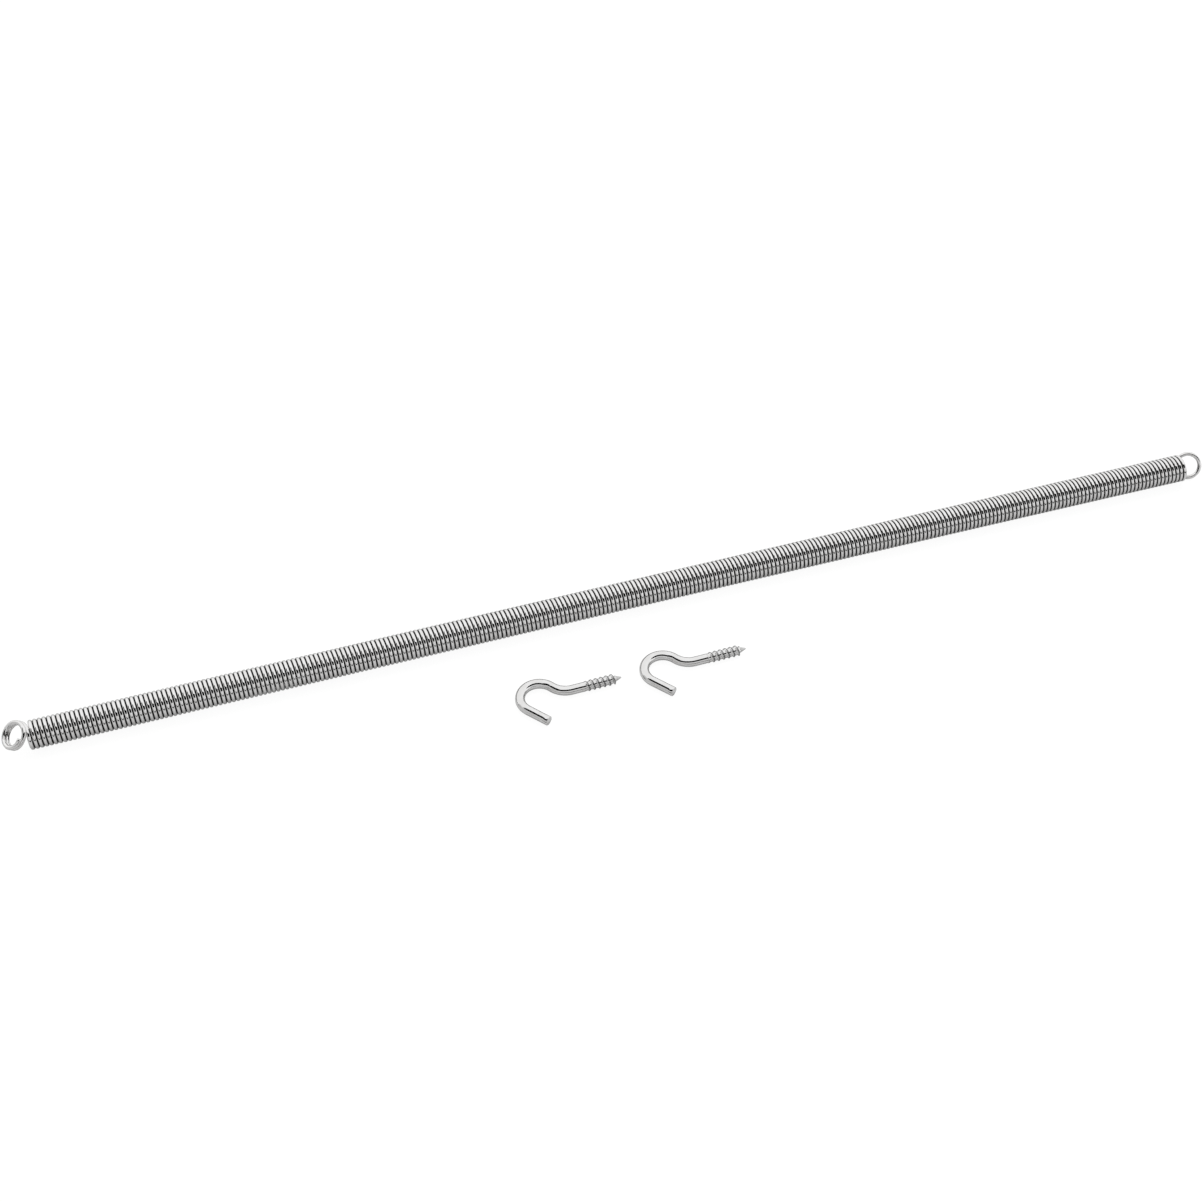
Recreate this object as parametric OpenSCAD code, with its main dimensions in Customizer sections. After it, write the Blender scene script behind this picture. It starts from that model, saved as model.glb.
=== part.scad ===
// Gate spring closer: a close-wound extension spring with an eye at each end,
// lying on a flat surface beside its two screw hooks.
// X runs along the spring to its far end, Y to the back and Z up.

/* [Spring] */
// Diameter of the spring wire
wire_d = 1.7; // [1.3:0.1:2.1]
// Outside diameter of the coil
coil_od = 11.3; // [10:0.1:14]
// Length of the coil between its end turns
coil_len = 478; // [200:1:700]
// Whole curls of the coil, each as wide as a few turns of close wire
curl_count = 93; // [20:1:93]
// Gap between neighbouring curls
curl_gap = 0.46; // [0.42:0.01:0.8]
// Bevel along the edges of each curl
edge_bevel = 0.6; // [0.3:0.05:0.7]

/* [Near eye] */
// How far above the front of the coil the wire leaves it, about the axis
near_roll = 72; // [40:1:90]
// Angle that the eye is bent out from the end of the coil
near_bend = 50; // [35:1:70]
// Radius of the eye at the middle of the wire
near_eye_r = 4.85; // [4.3:0.05:6]
// Sweep of the wire round the eye
near_sweep = 672; // [560:1:690]

/* [Far eye] */
// Lean of the eye's plane to the back, about the axis
far_roll = 49; // [0:1:80]
// Radius of the bend from the coil into the eye
far_bend_r = 1.65; // [1.3:0.05:2.2]
// Straight wire between that bend and the eye
far_neck_len = 2.4; // [1.4:0.05:4]
// Radius of the eye at the middle of the wire
far_eye_r = 5; // [4.4:0.05:5.8]
// Sweep of the wire round the eye
far_sweep = 200; // [150:1:202]

/* [Hooks] */
// Diameter of the hook wire
hook_wire_d = 3.6; // [2.5:0.1:5]
// Radius of the bow at the middle of the wire
bow_r = 7.2; // [6:0.1:10]
// Angle of the tail to the shank
tail_angle = 51; // [40:1:60]
// Length of the straight tail
tail_len = 10.2; // [4:0.1:16]
// Chamfer round the cut end of the tail
tail_chamfer = 0.2; // [0.1:0.05:0.5]
// Angle of the neck to the shank
neck_angle = 52; // [45:1:60]
// Radius of the bend from the neck into the shank
neck_bend_r = 6.2; // [4:0.1:8]
// Length of the straight shank, without its point
shank_len = 18.3; // [12:0.1:40]
// Length of the tapered point
point_len = 3.2; // [2:0.1:6]
// Diameter of the blunt tip
tip_d = 0.5; // [0.2:0.1:1]

/* [Layout] */
// Distance from the near end of the coil to the first hook's bow
first_hook_x = 187; // [0:0.5:400]
// Space between the two hooks
hook_gap = 7.3; // [3:0.1:30]
// Space between the coil and the hooks
hook_clear = 22.9; // [10:0.1:60]

/* [Hidden] */
$fn = 48;

wire_r = wire_d / 2;
coil_r = (coil_od - wire_d) / 2;
hook_wire_r = hook_wire_d / 2;

// Bends and straights of a wire lap by this much, the lapped run a hair thinner
wire_lap = 0.15;
lap_step = 0.01;

// Angles round the coil are counted from its front, down and under to the back.
rings_per_curl = 8;
ring_step = 360 / rings_per_curl;
flat_scale = 1 / cos(ring_step / 2);
straight_angle = atan(wire_d / coil_r);
far_start_angle = atan(far_bend_r / coil_r);
near_t = -near_roll;
far_t = 360 * curl_count + 90 - far_roll - far_start_angle;
curls = (far_t - near_t) / 360;
curl_pitch = (coil_len - curl_gap - 2 * wire_d) / (curls - 1);
curl_w = curl_pitch - curl_gap;

// Near eye: half turns of wire in planes that lean by turns
near_pitch = wire_d + curl_gap;
near_lean = atan(near_pitch / (4 * near_eye_r));
near_arc_r = near_eye_r / cos(near_lean);
near_halves = ceil(near_sweep / 180);

// Far eye, on a neck that runs on from the coil beside the axis
far_neck_r = coil_r / cos(far_start_angle);
far_eye_x = coil_len - wire_r + far_bend_r + far_neck_len;

// Hook, about the centre of its bow, with the shank's line through that centre
neck_drop = bow_r * cos(neck_angle) - neck_bend_r * (1 - cos(neck_angle));
neck_len = neck_drop / sin(neck_angle);
bow_from = 90 - neck_angle;
bow_to = 270 - tail_angle;
shank_x = (bow_r + neck_bend_r) * sin(neck_angle) + neck_len * cos(neck_angle);
hook_reach = shank_x + shank_len + point_len;
bow_out_r = bow_r + hook_wire_r;
hook_y = -(coil_od / 2 + hook_clear + bow_out_r);
hook_step = hook_reach + hook_gap + bow_out_r;
hook_x = [first_hook_x, first_hook_x + hook_step];
tail_end_y = bow_r * sin(bow_to) - tail_len * sin(tail_angle);

// Six-sided section of a curl in a plane through the axis, as [along, out] pairs
function curl_section(x_lo, x_hi) = [
    [x_lo, coil_r],
    [x_lo + edge_bevel, coil_r + wire_r],
    [x_hi - edge_bevel, coil_r + wire_r],
    [x_hi, coil_r],
    [x_hi - edge_bevel, coil_r - wire_r],
    [x_lo + edge_bevel, coil_r - wire_r]
];

// Curls widen from one wire at each flat end of the coil to their full width
function advance(t) = curl_pitch * (t - near_t) / 360;
function curl_lo(t) = max(0, wire_d + advance(t) - curl_w);
function curl_hi(t) = min(coil_len, wire_d + advance(t));

// Ring of the curl at angle t, moved straight along the wire by slip
function curl_ring(t, slip, grow) =
    let (turned = t + sign(slip) * straight_angle)
    [for (p = curl_section(curl_lo(turned), curl_hi(turned))) [
        p.x,
        -p.y * grow * cos(t) + slip * sin(t),
        -p.y * grow * sin(t) - slip * cos(t)
    ]];

// Rings between the straight ends, placed so that the coil lies on a flat
end_angle = 1.5 * straight_angle;
body_from = ceil((near_t + end_angle) / ring_step - 0.5);
body_to = floor((far_t - end_angle) / ring_step - 0.5);
coil_rings = concat(
    [curl_ring(near_t, 0, 1), curl_ring(near_t, wire_d, 1)],
    [for (k = [body_from : body_to]) curl_ring(ring_step * (k + 0.5), 0, flat_scale)],
    [curl_ring(far_t, -wire_d, 1), curl_ring(far_t, 0, 1)]
);
ring_count = len(coil_rings);
sides = len(coil_rings[0]);
coil_points = [for (ring = coil_rings) each ring];

// Least gap of the coil to itself, measured between the points of neighbouring curls
function ring_gap(a, b) = min([for (p = a) min([for (q = b) norm(p - q)])]);
coil_gap = min([
    for (i = [0 : ring_count - rings_per_curl])
        for (k = [rings_per_curl - 1 : rings_per_curl + 1])
            if (i + k < ring_count) ring_gap(coil_rings[i], coil_rings[i + k])
]);
echo(least_gap_of_the_coil_to_itself = coil_gap);

// Middle line of the near eye from the axis of the coil, at a sweep of s
function turn_z(p, a) = [p.x * cos(a) - p.y * sin(a), p.x * sin(a) + p.y * cos(a), p.z];
function roll_x(p, a) = [p.x, p.y * cos(a) + p.z * sin(a), p.z * cos(a) - p.y * sin(a)];
function near_half_centre(k) = [-near_pitch * (2 * k + 1) / 4, near_eye_r, 0];
function near_half_lean(k) = k % 2 == 0 ? near_lean : -near_lean;
function near_line(s) =
    let (k = min(floor(s / 180), near_halves - 1))
    let (on_arc = near_arc_r * [0, -cos(s), sin(s)])
    let (in_plane = near_half_centre(k) + turn_z(on_arc, near_half_lean(k)))
    roll_x(turn_z(in_plane, near_bend) + [wire_r, -coil_r, 0], near_roll);
near_points = [for (s = [0 : near_sweep]) near_line(s)];

// Box of the whole part before it is centred
near_reach = min([for (p = near_points) p.x]) - wire_r;
far_reach = far_eye_x + far_eye_r + wire_r;
tail_reach = max(
    (hook_wire_r - tail_chamfer) * cos(tail_angle),
    (hook_wire_r - lap_step) * cos(tail_angle) - tail_chamfer * sin(tail_angle)
);
front_reach = hook_y + tail_end_y - tail_reach;
back_reach = max(max([for (p = coil_points) p.y]), max([for (p = near_points) p.y]) + wire_r);
centre_x = (near_reach + far_reach) / 2;
centre_y = (front_reach + back_reach) / 2;
axis_z = coil_od / 2;

module in_spring_frame() {
    translate([-centre_x, -centre_y, axis_z])
        children();
}

// Round wire bent to a radius about Z, from one angle through a sweep
module bent_wire(d, r, from, sweep) {
    rotate([0, 0, from])
        rotate_extrude(angle = sweep)
            translate([r, 0])
                circle(d = d);
}

// Straight round wire along X between two bends, lapped into both
module straight_wire(d, length) {
    translate([-wire_lap, 0, 0])
        rotate([0, 90, 0])
            cylinder(d = d - 2 * lap_step, h = length + 2 * wire_lap);
}

// Straight end of a wire along X, lapped into its bend and tapered to a tip
module wire_end(d, length, taper_len, taper_d) {
    run_r = d / 2 - lap_step;
    rotate([0, 90, 0])
        rotate_extrude()
            polygon([
                [0, -wire_lap],
                [run_r, -wire_lap],
                [run_r, length],
                [taper_d / 2, length + taper_len],
                [0, length + taper_len]
            ]);
}

module coil() {
    sides_list = [
        for (i = [0 : ring_count - 2])
            for (j = [0 : sides - 1])
                let (a = i * sides + j)
                let (b = i * sides + (j + 1) % sides)
                each [[a, b, a + sides], [b, b + sides, a + sides]]
    ];
    last = (ring_count - 1) * sides;
    near_cap = [for (j = [1 : sides - 2]) [0, j + 1, j]];
    far_cap = [for (j = [1 : sides - 2]) [last, last + j, last + j + 1]];
    color("silver")
        in_spring_frame()
            polyhedron(coil_points, concat(sides_list, near_cap, far_cap));
}

module near_eye() {
    color("silver")
        in_spring_frame()
            rotate([-near_roll, 0, 0])
                translate([wire_r, -coil_r, 0])
                    rotate([0, 0, near_bend])
                        for (k = [0 : near_halves - 1])
                            near_half_turn(k, min(180, near_sweep - 180 * k));
}

// One half turn of the near eye: even ones pass over, odd ones pass under and lap
module near_half_turn(k, sweep) {
    over = k % 2 == 0;
    lap_angle = over ? 0 : wire_lap / near_arc_r * 180 / PI;
    end_lap = sweep < 180 ? 0 : lap_angle;
    translate(near_half_centre(k))
        rotate([0, 0, near_half_lean(k)])
            rotate([90, 0, 90])
                bent_wire(
                    over ? wire_d : wire_d - 2 * lap_step,
                    near_arc_r,
                    (over ? 180 : 360) - sweep - end_lap,
                    sweep + lap_angle + end_lap
                );
}

module far_eye() {
    color("silver")
        in_spring_frame()
            rotate([-far_roll, 0, 0]) {
                translate([coil_len - wire_r + far_bend_r, 0, 0])
                    rotate([-far_start_angle, 0, 0])
                        translate([0, 0, -coil_r])
                            bent_wire(wire_d, far_bend_r, 90, 90);
                translate([coil_len - wire_r + far_bend_r, 0, -far_neck_r])
                    straight_wire(wire_d, far_neck_len);
                translate([far_eye_x, 0, far_eye_r - far_neck_r])
                    rotate([90, 0, 0])
                        bent_wire(wire_d, far_eye_r, -90, far_sweep);
            }
}

// Screw hook lying flat, with its bow centred on the origin and its shank along X
module screw_hook() {
    color("gainsboro")
        translate([0, 0, hook_wire_r]) {
            bent_wire(hook_wire_d, bow_r, bow_from, bow_to - bow_from);
            translate(bow_r * [cos(bow_to), sin(bow_to), 0])
                rotate([0, 0, -tail_angle])
                    wire_end(hook_wire_d, tail_len - tail_chamfer, tail_chamfer, hook_wire_d - 2 * tail_chamfer);
            translate(bow_r * [cos(bow_from), sin(bow_from), 0])
                rotate([0, 0, -neck_angle])
                    straight_wire(hook_wire_d, neck_len);
            translate([shank_x, neck_bend_r, 0])
                bent_wire(hook_wire_d, neck_bend_r, 270 - neck_angle, neck_angle);
            translate([shank_x, 0, 0])
                wire_end(hook_wire_d, shank_len, point_len, tip_d);
        }
}

module left_screw_hook() {
    translate([hook_x[0] - centre_x, hook_y - centre_y, 0])
        screw_hook();
}

module right_screw_hook() {
    translate([hook_x[1] - centre_x, hook_y - centre_y, 0])
        screw_hook();
}

coil();
near_eye();
far_eye();
left_screw_hook();
right_screw_hook();
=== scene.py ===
"""Gate spring closer: a close-wound extension spring and its two screw hooks, in zinc-plated wire.

Sizes are in millimetres and angles in degrees, in the frame's own axes. Meshes are made in metres, and the
studio's sizes are in metres too.
"""
import math

import bpy
import numpy as np
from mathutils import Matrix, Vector


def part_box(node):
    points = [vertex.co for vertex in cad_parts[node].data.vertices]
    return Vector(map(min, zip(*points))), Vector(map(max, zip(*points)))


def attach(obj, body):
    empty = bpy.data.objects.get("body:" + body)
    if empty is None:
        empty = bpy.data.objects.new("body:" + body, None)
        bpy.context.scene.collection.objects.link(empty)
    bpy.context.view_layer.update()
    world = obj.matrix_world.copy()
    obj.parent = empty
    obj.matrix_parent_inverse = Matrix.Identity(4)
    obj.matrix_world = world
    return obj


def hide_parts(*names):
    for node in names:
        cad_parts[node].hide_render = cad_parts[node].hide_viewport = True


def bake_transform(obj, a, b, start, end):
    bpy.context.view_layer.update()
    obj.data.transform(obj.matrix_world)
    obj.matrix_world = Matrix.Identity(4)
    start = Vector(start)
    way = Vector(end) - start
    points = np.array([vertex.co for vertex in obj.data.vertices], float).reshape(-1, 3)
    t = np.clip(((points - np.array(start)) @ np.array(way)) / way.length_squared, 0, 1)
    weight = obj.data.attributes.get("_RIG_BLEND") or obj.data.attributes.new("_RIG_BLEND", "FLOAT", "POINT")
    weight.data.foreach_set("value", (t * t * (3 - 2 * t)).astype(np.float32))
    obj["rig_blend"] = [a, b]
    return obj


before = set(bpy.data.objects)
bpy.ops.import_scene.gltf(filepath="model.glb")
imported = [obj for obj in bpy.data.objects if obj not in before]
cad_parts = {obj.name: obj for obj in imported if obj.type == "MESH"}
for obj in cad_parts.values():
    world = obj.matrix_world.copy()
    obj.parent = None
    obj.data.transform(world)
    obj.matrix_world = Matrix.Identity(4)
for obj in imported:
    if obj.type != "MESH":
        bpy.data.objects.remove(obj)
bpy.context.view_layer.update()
MM = 0.001


def node_box(node):
    """Lowest and highest corner of a CAD node, in millimetres."""
    low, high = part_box(node)
    return np.array(low) / MM, np.array(high) / MM


# Camera: the photograph's frame, and its place counted from the near end of the coil's axis
FRAME_PX = 1202
FOCAL_PX = 2200
SENSOR_WIDTH = 36
CAMERA_FROM_COIL = (43.3, -565.6, 627.8)
CAMERA_DOWN = 46.58
CAMERA_TURN = 17.73

# Spring
WIRE_D = 1.7
WHOLE_TURNS = 277
RINGS_PER_TURN = 24
WIRE_SIDES = 14
CUT_BEVEL = 0.12
# The spring lies in a slight bow: how far its ends come forward, and its middle goes back
BOW_ENDS = 0.45
BOW_MIDDLE = 0.2

# Near eye: almost two close turns, bent out from the end of the coil
NEAR_ROLL = 72
NEAR_BEND = 50
NEAR_EYE_R = 4.85
NEAR_EYE_PITCH = 1.72
NEAR_SWEEP = 672

# Far eye: where its wire leaves the coil, and an open ring that leans back
FAR_LEAVES = 48
# The ring's place, counted from the far end of the coil's axis
FAR_EYE_PLACE = (3.48, 0.97, -0.69)
FAR_EYE_R = 4.87
FAR_EYE_LEAN = 40
FAR_EYE_TURN = 15
FAR_EYE_FROM = -105
FAR_EYE_TO = 119
# Angle between the rings of either eye
EYE_STEP = 8
# The bend between the coil and the far eye: how many points it has, and how firmly it follows the ring
BEND_POINTS = 17
BEND_PULL = 1.3

# Screw hooks
HOOK_WIRE_D = 3.75
BOW_R = 7.28
TAIL_ANGLE = 52.5
TAIL_LEN = 9.7
TAIL_BEVEL = 0.2
NECK_ANGLE = 58
NECK_BEND_R = 8.1
HOOK_SIDES = 40
# Rings along a hook's wire: their angle in the bends, and their distance in the tail and the plain shank
HOOK_STEP = 5
TAIL_STEP = 2
SHANK_STEP = 1

# Thread and gimlet point of a hook, from the centre of its bow
THREAD_FROM = 16.8
THREAD_PITCH = 2.07
ROOT_R = 1.72
CREST_R = 2.15
POINT_LEN = 4.2
TIP_R = 0.18
# The thread rises out of the plain shank, and runs out before the plain part of the point
THREAD_RUN_IN = 3.4
THREAD_RUN_OUT = 1.0
POINT_PLAIN = 2.1
# Shares of the pitch: the flat crest and each flank
CREST_SHARE = 0.2
FLANK_SHARE = 0.2
# Shares of the pitch past the middle of the crest: where a strip of painted shade begins and ends, and its soft
# edge
SHADE_FROM = -0.05
SHADE_TO = 0.3
SHADE_EDGE = 0.06
# The plain part of the point has painted shade too, by this share of the strip
POINT_SHADE = 0.4

# Outer radius of the bow of a CAD hook
CAD_BOW_OUT_R = 9
# How each hook lies in the photograph. Its shift is from the CAD hook, and its reach from the bow's centre.
HOOKS = {
    "left_hook_wire": {
        "node": "left_screw_hook",
        "body": "left_hook",
        "shift": (0.43, -0.19),
        "turn": 1.0,
        "reach": 33.05,
        "thread_turn": -123,
    },
    "right_hook_wire": {
        "node": "right_screw_hook",
        "body": "right_hook",
        "shift": (-0.03, -0.7),
        "turn": 0.9,
        "reach": 34.05,
        "thread_turn": -7,
    },
}

# Meshes: the angle from which an edge is sharp
SHARP_ANGLE = 50
# UV map: how much of each row is filled, and the places and room of the two caps, in radii of a cap
ROW_FILL = 0.94
CAP_PLACES = (2, 5)
CAP_ROOM = 1.1

# Plating: noises, scaled per millimetre. Where one rises through its range, the wire dulls by its share.
CLOUD_SCALE = (0.25, 0.4, 0.4)
CLOUD_DETAIL = 3
CLOUD_RANGE = (0.35, 0.65)
CLOUD_SHARE = 1.0
LINE_SCALE = (0.06, 5, 5)
LINE_DETAIL = 4
LINE_RANGE = (0.3, 0.7)
LINE_SHARE = 0.35
SPECK_SCALE = (3, 3, 3)
SPECK_DETAIL = 2
SPECK_RANGE = (0.62, 0.8)
SPECK_SHARE = 0.4
# Relief of the plating, and the part that lines and specks have in it
LINE_RELIEF = 0.6
SPECK_RELIEF = 0.4
BUMP_HEIGHT = 0.02
BUMP_STRENGTH = 0.06

# Studio, in metres: the edges of its cards
OVERHEAD_Z = 1.2
OVERHEAD_LEFT = -1.6
OVERHEAD_RIGHT = 1.8
OVERHEAD_FRONT = -1.6
OVERHEAD_BACK = -0.45
# The overhead card has a wing at its left that goes further back
WING_RIGHT = -0.5
WING_BACK = 0.25
# The front and left cards stand round the table
ROOM_LEFT = -1.9
ROOM_RIGHT = 1.9
ROOM_FRONT = -1.8
ROOM_TOP = 1.4
FRONT_CARD_RIGHT = 1.4
LEFT_CARD_BACK = 1.0
# A dark table goes from the foot of the front card to just in front of the hooks
FOOT_Y = -1.79
FOOT_TOP = 0.12
TABLE_BACK = -0.037
TABLE_Z = 0.0005
# How bright the cards are
BLACK = 0.0
NEARLY_BLACK = 0.02
FRONT_GREY = 0.66
LEFT_GREY = 0.6

# Sizes and place of the spring, from the CAD coil
COIL_LOW, COIL_HIGH = node_box("coil")
COIL_LEN = COIL_HIGH[0] - COIL_LOW[0]
COIL_OUT_R = (COIL_HIGH[2] - COIL_LOW[2]) / 2
WIRE_R = WIRE_D / 2
COIL_R = COIL_OUT_R - WIRE_R
SPRING_PLACE = np.array([COIL_LOW[0], COIL_HIGH[1] - COIL_OUT_R, COIL_LOW[2] + COIL_OUT_R])


def cosd(angle):
    return np.cos(np.radians(angle))


def sind(angle):
    return np.sin(np.radians(angle))


def arc(radius, angles):
    """Points on a circle about the origin of its plane."""
    return radius * np.stack([cosd(angles), sind(angles)], 1)


def turned(points, angle):
    """Points turned about Z."""
    x, y, z = points.T
    return np.stack([x * cosd(angle) - y * sind(angle), x * sind(angle) + y * cosd(angle), z], 1)


def rolled(points, angle):
    """Points rolled about X, so that the front goes up."""
    x, y, z = points.T
    return np.stack([x, y * cosd(angle) + z * sind(angle), z * cosd(angle) - y * sind(angle)], 1)


def unit(vectors):
    return vectors / np.linalg.norm(vectors, axis=-1, keepdims=True)


def steps(start, end, step):
    """Evenly spaced values from start to end, about step apart."""
    return np.linspace(start, end, max(2, 1 + round(abs(end - start) / step)))


def carried(tangents, first_normal):
    """Normals that follow a line without twisting, from its first one."""
    normals = [first_normal]
    for tangent in tangents[1:]:
        last = normals[-1]
        normals.append(unit(last - np.dot(last, tangent) * tangent))
    return np.array(normals)


def joined(start, start_way, end, end_way):
    """A smooth line between two points that leaves and arrives in the given ways."""
    gap = np.linalg.norm(end - start)
    s = np.linspace(0, 1, BEND_POINTS)[:, None]
    ends = (2 * s**3 - 3 * s**2 + 1) * start + (3 * s**2 - 2 * s**3) * end
    return ends + gap * ((s**3 - 2 * s**2 + s) * start_way + BEND_PULL * (s**3 - s**2) * end_way)


class Spring:
    """Middle line of the spring's wire, from the cut end of the near eye to that of the far eye.

    Angles round the coil are counted from its front, down and under to the back.
    """

    def __init__(self):
        self.from_angle = -NEAR_ROLL
        self.to_angle = 360 * WHOLE_TURNS + FAR_LEAVES
        self.turns = (self.to_angle - self.from_angle) / 360
        near = self.near_eye()
        angles = steps(self.from_angle, self.to_angle, 360 / RINGS_PER_TURN)
        coil = self.coil(angles)
        far = self.far_eye(coil[-1], unit(coil[-1] - coil[-2]))
        self.line = self.bowed(np.concatenate([near[:-1], coil, far[1:]]))
        self.first = len(near) - 1
        self.last = len(near) + len(coil) - 2
        self.tangents = unit(np.gradient(self.line, axis=0))
        share = (angles - self.from_angle) / (self.to_angle - self.from_angle)
        self.share = np.concatenate([np.zeros(len(near) - 1), share, np.ones(len(far) - 1)])
        self.normals = self.ring_normals()

    def bowed(self, line):
        """The line in the slight bow that the spring lies in."""
        from_middle = 2 * line[:, 0] / COIL_LEN - 1
        forward = (BOW_ENDS + BOW_MIDDLE) * from_middle ** 2 - BOW_MIDDLE
        return line - np.outer(forward, [0, 1, 0])

    def coil(self, angles):
        """A helix along X, from one end of the CAD coil to the other."""
        pitch = (COIL_LEN - WIRE_D) / self.turns
        x = WIRE_R + pitch * (angles - self.from_angle) / 360
        return np.stack([x, -COIL_R * cosd(angles), -COIL_R * sind(angles)], 1)

    def near_eye(self):
        """Close turns that are bent out about the point where the coil begins."""
        sweep = steps(NEAR_SWEEP, 0, EYE_STEP)
        x = -NEAR_EYE_PITCH * sweep / 360
        ring = np.stack([x, NEAR_EYE_R * (1 - cosd(sweep)), NEAR_EYE_R * sind(sweep)], 1)
        hinge = np.array([WIRE_R, -COIL_R, 0])
        return rolled(turned(ring, NEAR_BEND) + hinge, NEAR_ROLL)

    def far_eye(self, coil_end, coil_way):
        """A bend out of the last turn and the ring that follows."""
        up = np.array([0, sind(FAR_EYE_LEAN), cosd(FAR_EYE_LEAN)])
        front = np.array([0, -cosd(FAR_EYE_LEAN), sind(FAR_EYE_LEAN)])
        out = cosd(FAR_EYE_TURN) * np.array([1, 0, 0]) + sind(FAR_EYE_TURN) * front
        angles = steps(FAR_EYE_FROM, FAR_EYE_TO, EYE_STEP)
        centre = np.array([COIL_LEN, 0, 0]) + FAR_EYE_PLACE
        ring = centre + FAR_EYE_R * (np.outer(cosd(angles), out) + np.outer(sind(angles), up))
        ring_way = cosd(FAR_EYE_FROM) * up - sind(FAR_EYE_FROM) * out
        bend = joined(coil_end, coil_way, ring[0], ring_way)
        return np.concatenate([bend[:-1], ring])

    def ring_normals(self):
        """Outward normals: away from the axis along the coil, and carried on from there into the eyes."""
        axis = self.bowed(self.line * np.array([1, 0, 0]))
        out = self.line - axis
        out -= (out * self.tangents).sum(1, keepdims=True) * self.tangents
        out = unit(out)
        near = carried(self.tangents[self.first::-1], out[self.first])[::-1]
        far = carried(self.tangents[self.last:], out[self.last])
        return np.concatenate([near[:-1], out[self.first:self.last + 1], far[1:]])


class Hook:
    """Middle line of a screw hook's wire from its tail to its tip, about the centre of the bow."""

    def __init__(self, reach, thread_turn):
        drop = BOW_R * cosd(NECK_ANGLE) - NECK_BEND_R * (1 - cosd(NECK_ANGLE))
        neck_len = drop / sind(NECK_ANGLE)
        shank_from = (BOW_R + NECK_BEND_R) * sind(NECK_ANGLE) + neck_len * cosd(NECK_ANGLE)
        bow = arc(BOW_R, steps(270 - TAIL_ANGLE, 90 - NECK_ANGLE, HOOK_STEP))
        tail_way = np.array([cosd(TAIL_ANGLE), -sind(TAIL_ANGLE)])
        tail = bow[0] + np.outer(steps(TAIL_LEN - TAIL_BEVEL, 0, TAIL_STEP), tail_way)
        bend_centre = np.array([shank_from, NECK_BEND_R])
        bend = bend_centre + arc(NECK_BEND_R, steps(270 - NECK_ANGLE, 270, HOOK_STEP))
        plain_x = np.arange(shank_from + SHANK_STEP, THREAD_FROM - SHANK_STEP / 2, SHANK_STEP)
        thread_x = np.arange(THREAD_FROM, reach - TIP_R, THREAD_PITCH / HOOK_SIDES)
        shank_x = np.concatenate([plain_x, thread_x])
        shank = np.stack([shank_x, np.zeros_like(shank_x)], 1)
        flat = np.concatenate([tail[:-1], bow, bend, shank])
        self.line = np.column_stack([flat, np.zeros(len(flat))])
        self.tangents = unit(np.gradient(self.line, axis=0))
        self.tangents[-len(shank):] = [1, 0, 0]
        self.normals = np.tile([0.0, 0.0, 1.0], (len(flat), 1))
        self.radii = np.full((len(flat), HOOK_SIDES), HOOK_WIRE_D / 2)
        self.radii[-len(thread_x):] = self.thread(thread_x, reach, thread_turn)

    def thread(self, x, reach, thread_turn):
        """Radius of the right-handed thread and the point at each ring and side.

        It also sets shade: painted shade, a dark strip beside each crest and on the plain part of the point.
        """
        plain_r = HOOK_WIRE_D / 2
        run_in = np.clip((x - THREAD_FROM) / THREAD_RUN_IN, 0, 1)
        run_in = run_in * run_in * (3 - 2 * run_in)
        point = np.clip((reach - x) / POINT_LEN, 0, 1)
        root = TIP_R + (plain_r + (ROOT_R - plain_r) * run_in - TIP_R) * point
        run_out = np.clip((reach - x - POINT_PLAIN) / THREAD_RUN_OUT, 0, 1)
        crest = plain_r + (CREST_R - plain_r) * run_in
        side = np.arange(HOOK_SIDES) / HOOK_SIDES + thread_turn / 360
        past_crest = (x[:, None] / THREAD_PITCH - side) % 1 - 0.5
        ridge = np.clip(1 - (np.abs(past_crest) - CREST_SHARE / 2) / FLANK_SHARE, 0, 1)
        # Painted shade: a dark strip beside each crest, faded where the thread runs in and out
        shade_in = np.clip(0.5 + (past_crest - SHADE_FROM) / SHADE_EDGE, 0, 1)
        shade_out = np.clip(0.5 + (SHADE_TO - past_crest) / SHADE_EDGE, 0, 1)
        strip = shade_in * shade_out * (run_in * run_out)[:, None]
        self.shade = np.maximum(strip, POINT_SHADE * (1 - run_out)[:, None])
        return root[:, None] + ((crest - root) * run_out)[:, None] * ridge


def placed(name, data):
    """A new object in the scene, with its mesh, lamp or camera."""
    made = bpy.data.objects.new(name, data)
    bpy.context.scene.collection.objects.link(made)
    return made


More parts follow.
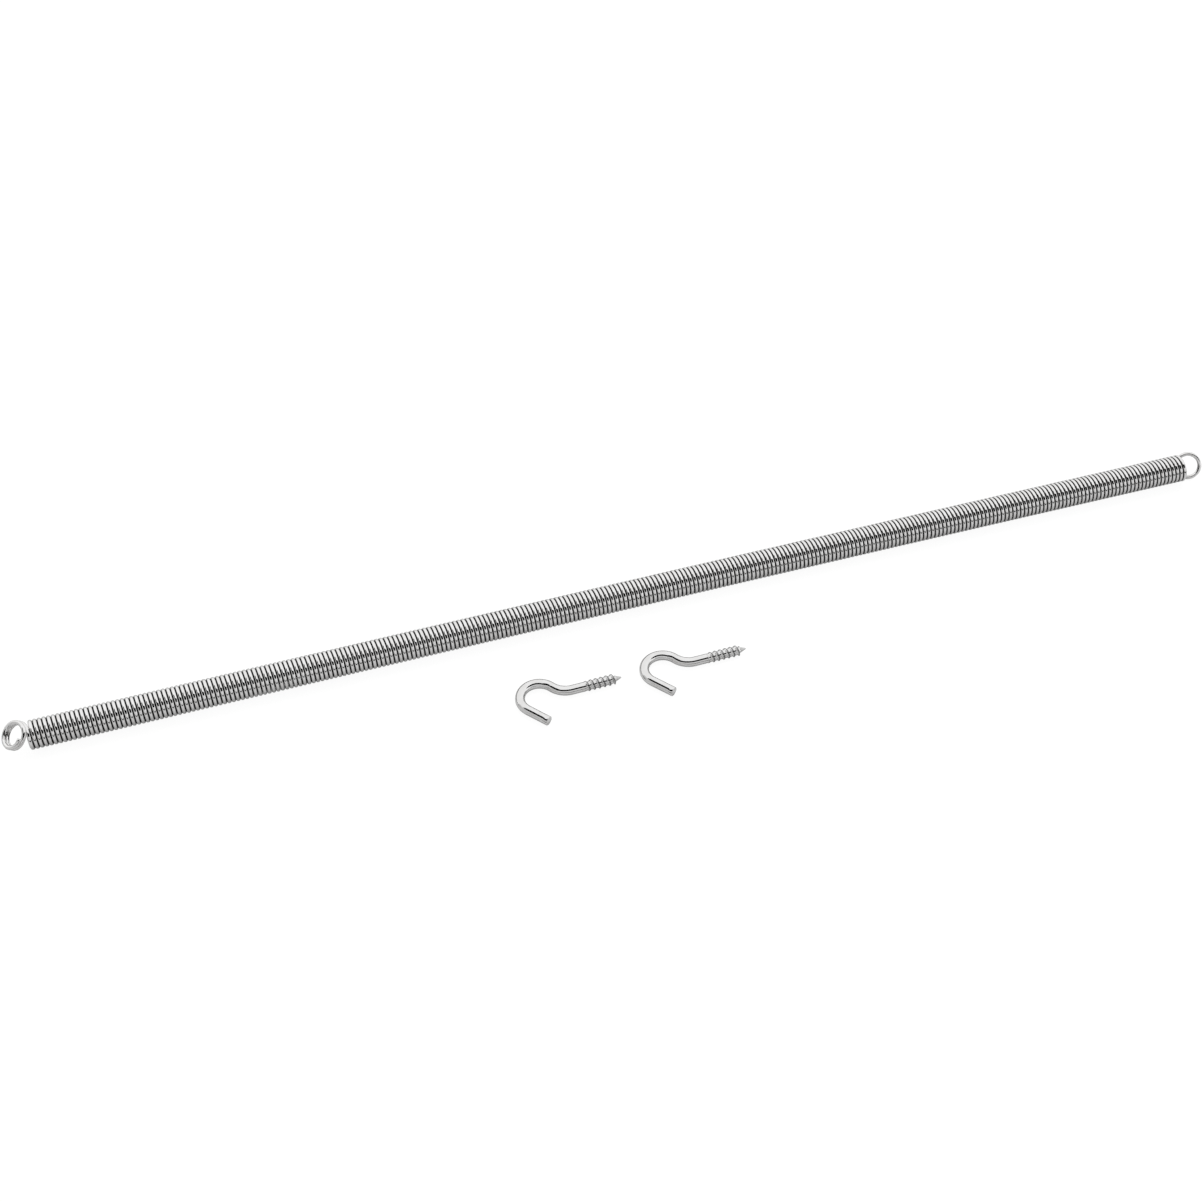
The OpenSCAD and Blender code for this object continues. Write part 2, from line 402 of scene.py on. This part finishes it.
def tube(name, line, tangents, normals, radii, bevel):
    """A closed mesh round a line. radii has one row for each ring and one number for each side.

    Each end has one more, smaller ring, for the bevel. The attribute wire holds, in millimetres, how far
    along the wire each vertex is and where round it.
    """
    binormals = np.cross(tangents, normals)
    angles = np.linspace(0, 2 * np.pi, radii.shape[1], endpoint=False)
    cosines = np.cos(angles)
    sines = np.sin(angles)
    around = cosines[None, :, None] * normals[:, None] + sines[None, :, None] * binormals[:, None]
    skin = line[:, None] + radii[:, :, None] * around
    start = line[0] + (radii[0] - bevel)[:, None] * around[0] - bevel * tangents[0]
    end = line[-1] + (radii[-1] - bevel)[:, None] * around[-1] + bevel * tangents[-1]
    skin = np.concatenate([start[None], skin, end[None]])
    rings, sides = skin.shape[:2]
    mesh = bpy.data.meshes.new(name)
    mesh.from_pydata((skin.reshape(-1, 3) * MM).tolist(), [], tube_faces(rings, sides))
    length = np.concatenate([[0], np.cumsum(np.linalg.norm(np.diff(skin.mean(1), axis=0), axis=1))])
    place = np.empty((rings, sides, 3), np.float32)
    place[:, :, 0] = length[:, None]
    place[:, :, 1] = cosines * radii.mean()
    place[:, :, 2] = sines * radii.mean()
    mesh.attributes.new("wire", "FLOAT_VECTOR", "POINT").data.foreach_set("vector", place.ravel())
    lay_out(mesh, rings, sides, length[-1] / (2 * np.pi * radii.mean()))
    mesh.shade_smooth()
    mesh.set_sharp_from_angle(angle=math.radians(SHARP_ANGLE))
    return placed(name, mesh)


def tube_faces(rings, sides):
    """Faces with four corners from ring to ring, and a cap on the first and the last ring."""
    i, k = np.meshgrid(np.arange(rings - 1), np.arange(sides), indexing="ij")
    a = (i * sides + k).ravel()
    b = (i * sides + (k + 1) % sides).ravel()
    faces = np.stack([a, b, b + sides, a + sides], 1).tolist()
    last = (rings - 1) * sides
    faces.append(list(range(sides))[::-1])
    faces.append(list(range(last, last + sides)))
    return faces


def lay_out(mesh, rings, sides, slenderness):
    """A UV map that lays the tube out in rows, one above the other, with the two caps in the last row."""
    rows = max(1, round(math.sqrt(slenderness)))
    per_row = math.ceil((rings - 1) / rows)
    i, k = np.meshgrid(np.arange(rings - 1), np.arange(sides), indexing="ij")
    row, column = np.divmod(i, per_row)
    corner_i = np.stack([column, column, column + 1, column + 1], -1)
    corner_k = np.stack([k, k + 1, k + 1, k], -1)
    u = corner_i / per_row * ROW_FILL + (1 - ROW_FILL) / 2
    v = (row[..., None] + (1 - ROW_FILL) / 2 + corner_k / sides * ROW_FILL) / (rows + 1)
    angle = np.arange(sides) / sides * 2 * np.pi
    cap_r = ROW_FILL / 2 / (rows + 1)
    cap_v = 1 - CAP_ROOM * cap_r + cap_r * np.sin(angle)
    caps = [np.stack([place * cap_r + cap_r * np.cos(angle), cap_v], -1) for place in CAP_PLACES]
    places = np.concatenate([np.stack([u, v], -1).reshape(-1, 2), *caps])
    mesh.uv_layers.new(name="OFBake").data.foreach_set("uv", places.astype(np.float32).ravel())


def with_bevels(values):
    """Values for the rings of a line, with the first and the last again for the rings of the bevels."""
    return np.concatenate([values[:1], values, values[-1:]])


def mark_painted_shade(mesh, values):
    """Attribute of painted shade: how much the colour is darkened at each vertex, as painted shade between the
    turns and along a hook's thread.
    """
    painted_shade = mesh.attributes.new("painted_shade", "FLOAT", "POINT")
    painted_shade.data.foreach_set("value", values.astype(np.float32).ravel())


def make_spring():
    """The spring as one length of wire, which opens between its two ends."""
    spring = Spring()
    radii = np.full((len(spring.line), WIRE_SIDES), WIRE_R)
    line = spring.line + SPRING_PLACE
    made = tube("spring_wire", line, spring.tangents, spring.normals, radii, CUT_BEVEL)
    mark_painted_shade(made.data, with_bevels(painted_shade_between_turns(spring)))
    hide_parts("coil", "near_eye", "far_eye")
    ends = np.array([[0, 0, 0], [COIL_LEN, 0, 0]]) + SPRING_PLACE
    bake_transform(made, "spring_near_end", "spring_far_end", start=tuple(ends[0] * MM), end=tuple(ends[1] * MM))
    stretch_evenly(made.data, spring)
    return made


def stretch_evenly(mesh, spring):
    """Each ring of the wire moves as one and each turn opens by the same amount, as in a real spring."""
    weights = np.repeat(with_bevels(spring.share), WIRE_SIDES).astype(np.float32)
    mesh.attributes["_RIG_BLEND"].data.foreach_set("value", weights)


def painted_shade_between_turns(spring):
    """Painted shade between the turns: 0 on the outside of a turn and on the eyes, and 1 where a turn meets its
    neighbours.
    """
    rings = len(spring.line)
    angles = np.linspace(0, 360, WIRE_SIDES, endpoint=False)
    from_crest = np.minimum(angles, 360 - angles) / 90
    near_side = sind(angles) > 0
    turn = spring.share * spring.turns
    painted_shade = np.tile(np.clip(from_crest, 0, 1), (rings, 1))
    inside = (np.arange(rings) >= spring.first) & (np.arange(rings) <= spring.last)
    painted_shade[~inside] = 0
    painted_shade[np.ix_((turn < 1) & inside, near_side)] = 0
    painted_shade[np.ix_((turn > spring.turns - 1) & inside, ~near_side)] = 0
    return painted_shade


def make_hook(name, node, body, shift, turn, reach, thread_turn):
    """A hook that rests on the crests of its thread."""
    low, high = node_box(node)
    centre_x = low[0] + CAD_BOW_OUT_R + shift[0]
    centre_y = high[1] - CAD_BOW_OUT_R + shift[1]
    centre = np.array([centre_x, centre_y, low[2] + CREST_R])
    hook = Hook(reach, thread_turn)
    line = turned(hook.line, turn) + centre
    # The tip is narrower than the tail's bevel, so both ends have half of it
    made = tube(name, line, turned(hook.tangents, turn), hook.normals, hook.radii, TAIL_BEVEL / 2)
    # Painted shade along the thread and on the plain part of the point, none elsewhere
    dull_and_painted_shade = np.zeros((len(hook.line) + 2, HOOK_SIDES))
    dull_and_painted_shade[-1 - len(hook.shade):-1] = hook.shade
    mark_painted_shade(made.data, dull_and_painted_shade)
    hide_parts(node)
    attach(made, body)
    return made


class Nodes:
    """Short ways to add and join nodes in a material or world."""

    def __init__(self, owner):
        owner.use_nodes = True
        self.tree = owner.node_tree
        self.tree.nodes.clear()

    def add(self, kind, settings=None, **inputs):
        """A new node. Its inputs are given by name, with _ for a space, or by number, as in i0."""
        node = self.tree.nodes.new("ShaderNode" + kind)
        for key, value in (settings or {}).items():
            setattr(node, key, value)
        for key, value in inputs.items():
            socket = int(key[1:]) if key[1:].isdigit() else key.replace("_", " ")
            self.set(node.inputs[socket], value)
        return node

    def set(self, socket, value):
        if isinstance(value, bpy.types.NodeSocket):
            self.tree.links.new(value, socket)
        else:
            socket.default_value = value

    def math(self, operation, a, b):
        return self.add("Math", {"operation": operation}, i0=a, i1=b).outputs[0]

    def ramp(self, value, low, high, to_low=0.0, to_high=1.0):
        settings = {"interpolation_type": "SMOOTHSTEP"}
        return self.add("MapRange", settings, i0=value, i1=low, i2=high, i3=to_low, i4=to_high).outputs[0]

    def mix(self, share, a, b):
        """A mix of two colours, which are the node's inputs 6 and 7 and its output 2."""
        return self.add("Mix", {"data_type": "RGBA"}, Factor=share, i6=a, i7=b).outputs[2]

    def noise(self, vector, scale, detail):
        moved = self.add("Mapping", Vector=vector, Scale=scale)
        return self.add("TexNoise", Vector=moved.outputs[0], Scale=1.0, Detail=detail).outputs[0]


def grey(value, warmth=0.0):
    return (value * (1 + warmth), value, value * (1 - warmth), 1)


def plated_wire(name, bright, dull_and_painted_shade, painted_shade_colour, smooth, rough, painted_shade_from, painted_shade_to):
    """Zinc-plated wire: lines from drawing, cloudy plating, and painted shade where its attribute of painted
    shade is high.
    """
    material = bpy.data.materials.new(name)
    n = Nodes(material)
    place = n.add("Attribute", {"attribute_name": "wire"}).outputs["Vector"]
    painted_shade = n.add("Attribute", {"attribute_name": "painted_shade"}).outputs["Fac"]
    lines = n.noise(place, LINE_SCALE, LINE_DETAIL)
    clouds = n.noise(place, CLOUD_SCALE, CLOUD_DETAIL)
    specks = n.noise(place, SPECK_SCALE, SPECK_DETAIL)
    plating = n.mix(n.ramp(clouds, *CLOUD_RANGE, to_high=CLOUD_SHARE), bright, dull_and_painted_shade)
    drawn = n.mix(n.ramp(lines, *LINE_RANGE, to_high=LINE_SHARE), plating, dull_and_painted_shade)
    spotted = n.mix(n.ramp(specks, *SPECK_RANGE, to_high=SPECK_SHARE), drawn, dull_and_painted_shade)
    # Painted shade: the colour darkens to the shade colour in the gaps between turns and along a hook's thread
    painted_shade_amount = n.ramp(painted_shade, painted_shade_from, painted_shade_to)
    colour = n.mix(painted_shade_amount, spotted, painted_shade_colour)
    worn = n.math("ADD", n.math("MULTIPLY", lines, rough - smooth), smooth)
    roughness = n.math("ADD", worn, n.math("MULTIPLY", painted_shade_amount, rough))
    line_height = n.math("MULTIPLY", lines, LINE_RELIEF)
    height = n.math("ADD", line_height, n.math("MULTIPLY", specks, SPECK_RELIEF))
    bump = n.add("Bump", Strength=BUMP_STRENGTH, Distance=BUMP_HEIGHT * MM, Height=height).outputs[0]
    shader = n.add("BsdfPrincipled", Metallic=1.0, Base_Color=colour, Roughness=roughness, Normal=bump)
    n.add("OutputMaterial", Surface=shader.outputs[0])
    return material


def seen_directly(n, in_metal=1.0):
    """1 for a ray from the camera, in_metal for a reflection, and 0 for other light.

    A ray through a see-through surface counts as one from the camera.
    """
    path = n.add("LightPath").outputs
    direct = n.math("MAXIMUM", path["Is Camera Ray"], path["Is Transmission Ray"])
    return n.math("MAXIMUM", direct, n.math("MULTIPLY", path["Is Glossy Ray"], in_metal))


def lying(x, y, z):
    """Corners of a level panel, from its two ends in X and in Y."""
    return [(x[0], y[0], z), (x[1], y[0], z), (x[1], y[1], z), (x[0], y[1], z)]


def standing(start, end, height):
    """Corners of a panel that stands on the floor, from one foot to the other."""
    return [(*start, 0), (*end, 0), (*end, height), (*start, height)]


def make_panel(name, corners):
    """A flat panel between four corners."""
    mesh = bpy.data.meshes.new(name)
    mesh.from_pydata(corners, [], [(0, 1, 2, 3)])
    return placed(name, mesh)


def make_world(light):
    """White all round to the eye and in reflections, and a plain soft light on the floor."""
    world = bpy.data.worlds.new("studio")
    bpy.context.scene.world = world
    n = Nodes(world)
    level = n.ramp(seen_directly(n), 0, 1, light, 1.0)
    n.add("OutputWorld", Surface=n.add("Background", Color=grey(1), Strength=level).outputs[0])


def make_floor(side, glow, glow_in_metal, albedo, albedo_in_metal):
    """A white floor that keeps soft shadows. Metal reflects it darker, with deeper shadows."""
    across = (-side / 2, side / 2)
    floor = make_panel("floor", lying(across, across, 0))
    material = bpy.data.materials.new("floor_white")
    n = Nodes(material)
    strength = n.math("MULTIPLY", seen_directly(n, glow_in_metal), glow)
    light = n.add("Emission", Color=grey(1), Strength=strength)
    in_metal = n.add("LightPath").outputs["Is Glossy Ray"]
    paint = n.add("BsdfDiffuse", Color=n.mix(in_metal, grey(albedo), grey(albedo_in_metal)))
    n.add("OutputMaterial", Surface=n.add("AddShader", i0=light.outputs[0], i1=paint.outputs[0]).outputs[0])
    floor.data.materials.append(material)


def make_card(name, corners, level):
    """A card of the studio that only reflections show."""
    card = make_panel(name, corners)
    material = bpy.data.materials.new(name)
    n = Nodes(material)
    n.add("OutputMaterial", Surface=n.add("Emission", Color=grey(level), Strength=1.0).outputs[0])
    card.data.materials.append(material)
    card.visible_camera = False
    card.visible_diffuse = False
    card.visible_shadow = False


def make_lamp(name, place, aim, side, watts):
    """A square lamp that no reflection shows."""
    data = bpy.data.lights.new(name, "AREA")
    data.size = side
    data.energy = watts
    lamp = placed(name, data)
    lamp.location = place
    way = np.array(aim) - np.array(place)
    lamp.rotation_euler = Vector(way).to_track_quat("-Z", "Y").to_euler()
    lamp.visible_glossy = False


def make_camera():
    """The photograph's camera."""
    data = bpy.data.cameras.new("camera")
    data.sensor_width = SENSOR_WIDTH
    data.lens = SENSOR_WIDTH * FOCAL_PX / FRAME_PX
    camera = placed("camera", data)
    camera.location = (SPRING_PLACE + CAMERA_FROM_COIL) * MM
    camera.rotation_euler = (math.radians(90 - CAMERA_DOWN), 0, math.radians(-CAMERA_TURN))
    bpy.context.scene.camera = camera


def make_studio():
    """Light, floor and the cards that the metal reflects."""
    make_world(light=0.7)
    make_floor(side=8, glow=0.92, glow_in_metal=0.1, albedo=0.13, albedo_in_metal=0.52)
    make_lamp("key", place=(0.6, 1.0, 1.6), aim=(0, 0, 0), side=1.5, watts=20)
    overhead_x = (OVERHEAD_LEFT, OVERHEAD_RIGHT)
    wing_x = (OVERHEAD_LEFT, WING_RIGHT)
    room_x = (ROOM_LEFT, ROOM_RIGHT)
    front_left = (ROOM_LEFT, ROOM_FRONT)
    make_card("overhead", lying(overhead_x, (OVERHEAD_FRONT, OVERHEAD_BACK), OVERHEAD_Z), BLACK)
    make_card("overhead_left", lying(wing_x, (OVERHEAD_BACK, WING_BACK), OVERHEAD_Z), BLACK)
    make_card("front", standing(front_left, (FRONT_CARD_RIGHT, ROOM_FRONT), ROOM_TOP), FRONT_GREY)
    make_card("front_foot", standing((ROOM_LEFT, FOOT_Y), (ROOM_RIGHT, FOOT_Y), FOOT_TOP), NEARLY_BLACK)
    make_card("table", lying(room_x, (FOOT_Y, TABLE_BACK), TABLE_Z), NEARLY_BLACK)
    make_card("left", standing((ROOM_LEFT, LEFT_CARD_BACK), front_left, ROOM_TOP), LEFT_GREY)


make_camera()
make_studio()
# The spring's painted shade between its turns is nearly black
spring_look = plated_wire(
    "spring_zinc",
    bright=grey(0.89), dull_and_painted_shade=grey(0.8, 0.01), painted_shade_colour=grey(0.01),
    smooth=0.07, rough=0.13, painted_shade_from=0.34, painted_shade_to=0.6,
)
# The hooks' painted shade along the thread and on the point is dark grey
hook_look = plated_wire(
    "hook_zinc",
    bright=grey(0.84), dull_and_painted_shade=grey(0.76, 0.01), painted_shade_colour=grey(0.24),
    smooth=0.05, rough=0.09, painted_shade_from=0.0, painted_shade_to=1.0,
)
make_spring().data.materials.append(spring_look)
for hook_name, hook_facts in HOOKS.items():
    make_hook(hook_name, **hook_facts).data.materials.append(hook_look)
bpy.context.scene.view_settings.view_transform = "Standard"
